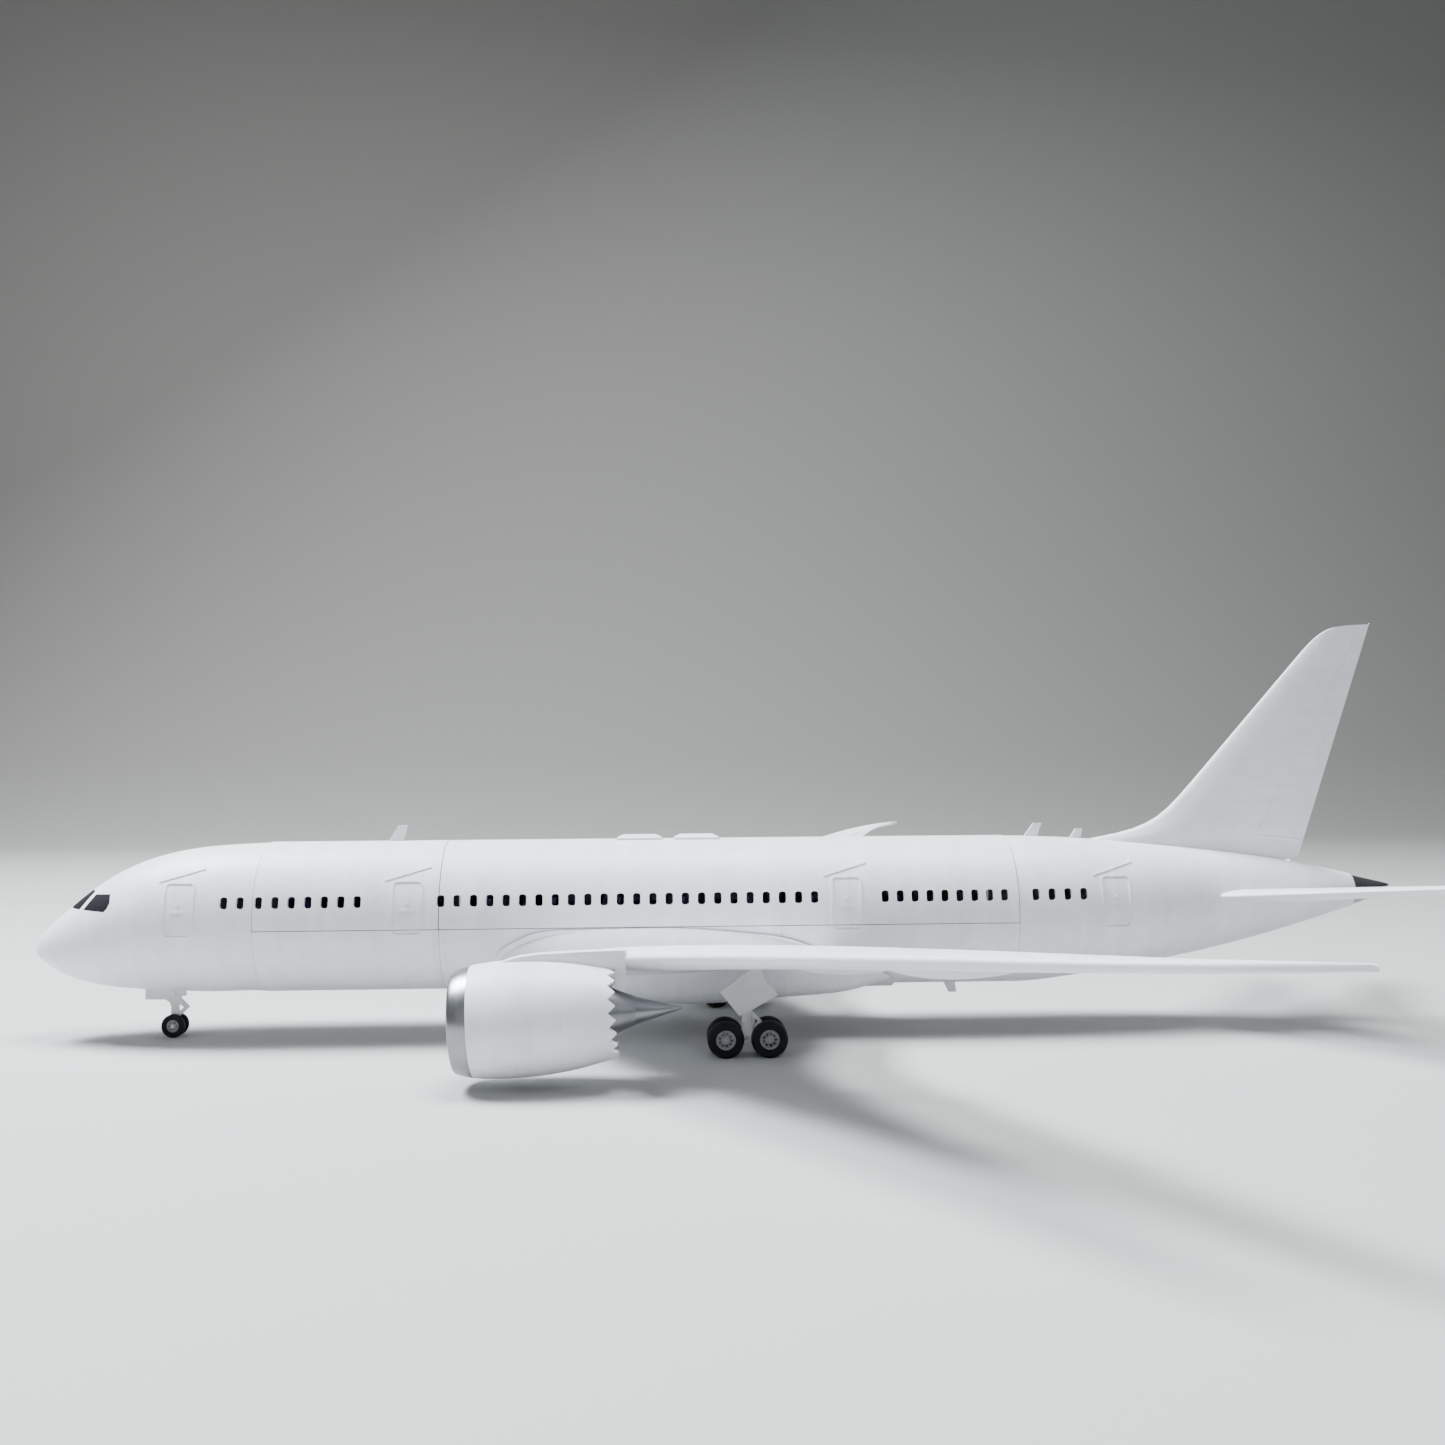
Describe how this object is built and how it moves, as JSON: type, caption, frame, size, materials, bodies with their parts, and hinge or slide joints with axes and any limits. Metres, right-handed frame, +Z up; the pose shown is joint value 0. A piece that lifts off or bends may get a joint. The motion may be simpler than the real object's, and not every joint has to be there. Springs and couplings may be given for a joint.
{
  "type": "desktop airliner model",
  "caption": "Desk model of a wide-body twin-jet airliner, printed in white plastic, with lift-off roof covers, rolling wheels and saw-tooth engine nozzles.",
  "frame": {"origin": "on the supporting surface, under the middle of the model's bounding box", "axes": "+X aft towards the tail, +Y to starboard, +Z up"},
  "size_m": [0.5636, 0.6012, 0.168],
  "materials": {
    "white_print": "satin white printed plastic with fine layer lines",
    "white_small": "satin white printed plastic",
    "gear_print": "matte white printed plastic",
    "silver_print": "silk silver printed plastic with concentric lines",
    "fan_grey": "satin dark grey plastic",
    "glazing_black": "matte black plastic",
    "cabin_navy": "matte navy printed plastic",
    "steel_pin": "plain steel rod",
    "hub_grey": "mid-grey printed plastic",
    "tyre_black": "matte black"
  },
  "bodies": {
    "airframe": {"aft_lower_shell": "white_print", "belly_fairing": "white_print", "bogie_pins": "steel_pin", "cabin_insert_forward": "cabin_navy", "cabin_insert_main": "cabin_navy", "centre_lower_shell": "white_print", "cockpit_glazing": "glazing_black", "core_nozzle_left": "silver_print", "core_nozzle_right": "silver_print", "exhaust_plug_left": "silver_print", "exhaust_plug_right": "silver_print", "fan_axles": "steel_pin", "fin": "white_print", "forward_lower_shell": "white_print", "fuselage_antennas": "white_small", "inlet_lip_left": "silver_print", "inlet_lip_right": "silver_print", "main_door_left": "gear_print", "main_door_right": "gear_print", "main_strut_left": "gear_print", "main_strut_right": "gear_print", "main_torque_links": "gear_print", "nacelle_cowl_left": "white_print", "nacelle_cowl_right": "white_print", "nose_leg": "gear_print", "nose_section": "white_print", "pylon_left": "white_print", "pylon_right": "white_print", "rear_fuselage": "white_print", "stabiliser_left": "white_print", "stabiliser_right": "white_print", "tail_exhaust_cone": "silver_print", "tail_section": "white_print", "wing_left": "white_print", "wing_right": "white_print"},
    "forward_roof": {"forward_roof": "white_print", "forward_antenna": "white_small"},
    "main_roof": {"main_roof": "white_print", "roof_radomes": "white_small"},
    "fan_left": {"fan_left": "fan_grey"},
    "fan_right": {"fan_right": "fan_grey"},
    "bogie_left": {"bogie_beam_left": "gear_print"},
    "bogie_right": {"bogie_beam_right": "gear_print"},
    "nose_wheels": {"nose_axle": "steel_pin", "nose_hubs": "hub_grey", "nose_tyres": "tyre_black"},
    "front_wheels_left": {"front_axle_left": "steel_pin", "front_hubs_left": "hub_grey", "front_tyres_left": "tyre_black"},
    "rear_wheels_left": {"rear_axle_left": "steel_pin", "rear_hubs_left": "hub_grey", "rear_tyres_left": "tyre_black"},
    "front_wheels_right": {"front_axle_right": "steel_pin", "front_hubs_right": "hub_grey", "front_tyres_right": "tyre_black"},
    "rear_wheels_right": {"rear_axle_right": "steel_pin", "rear_hubs_right": "hub_grey", "rear_tyres_right": "tyre_black"}
  },
  "joints": [
    {"name": "forward_roof_lift", "type": "slide", "parent": "airframe", "child": "forward_roof", "axis": [0, 0, 1], "range_m": [0, 0.05]},
    {"name": "main_roof_lift", "type": "slide", "parent": "airframe", "child": "main_roof", "axis": [0, 0, 1], "range_m": [0, 0.05]},
    {"name": "fan_left_spin", "type": "hinge", "parent": "airframe", "child": "fan_left", "pos_m": [-0.08182, -0.0973, 0.02331], "axis": [0.9987, 0, 0.0506], "continuous": true},
    {"name": "bogie_left_rock", "type": "hinge", "parent": "airframe", "child": "bogie_left", "pos_m": [0.0057, -0.0523, 0.0069], "axis": [0, 1, 0], "range_deg": [-6, 6]},
    {"name": "front_wheels_left_roll", "type": "hinge", "parent": "bogie_left", "child": "front_wheels_left", "pos_m": [-0.00255, -0.0523, 0.0069], "axis": [0, 1, 0], "continuous": true},
    {"name": "rear_wheels_left_roll", "type": "hinge", "parent": "bogie_left", "child": "rear_wheels_left", "pos_m": [0.01395, -0.0523, 0.0069], "axis": [0, 1, 0], "continuous": true},
    {"name": "fan_right_spin", "type": "hinge", "parent": "airframe", "child": "fan_right", "pos_m": [-0.08182, 0.0973, 0.02331], "axis": [0.9987, 0, 0.0506], "continuous": true},
    {"name": "bogie_right_rock", "type": "hinge", "parent": "airframe", "child": "bogie_right", "pos_m": [0.0057, 0.0523, 0.0069], "axis": [0, 1, 0], "range_deg": [-6, 6]},
    {"name": "front_wheels_right_roll", "type": "hinge", "parent": "bogie_right", "child": "front_wheels_right", "pos_m": [-0.00255, 0.0523, 0.0069], "axis": [0, 1, 0], "continuous": true},
    {"name": "rear_wheels_right_roll", "type": "hinge", "parent": "bogie_right", "child": "rear_wheels_right", "pos_m": [0.01395, 0.0523, 0.0069], "axis": [0, 1, 0], "continuous": true},
    {"name": "nose_wheels_roll", "type": "hinge", "parent": "airframe", "child": "nose_wheels", "pos_m": [-0.2261, 0, 0.0047], "axis": [0, 1, 0], "continuous": true}
  ]
}
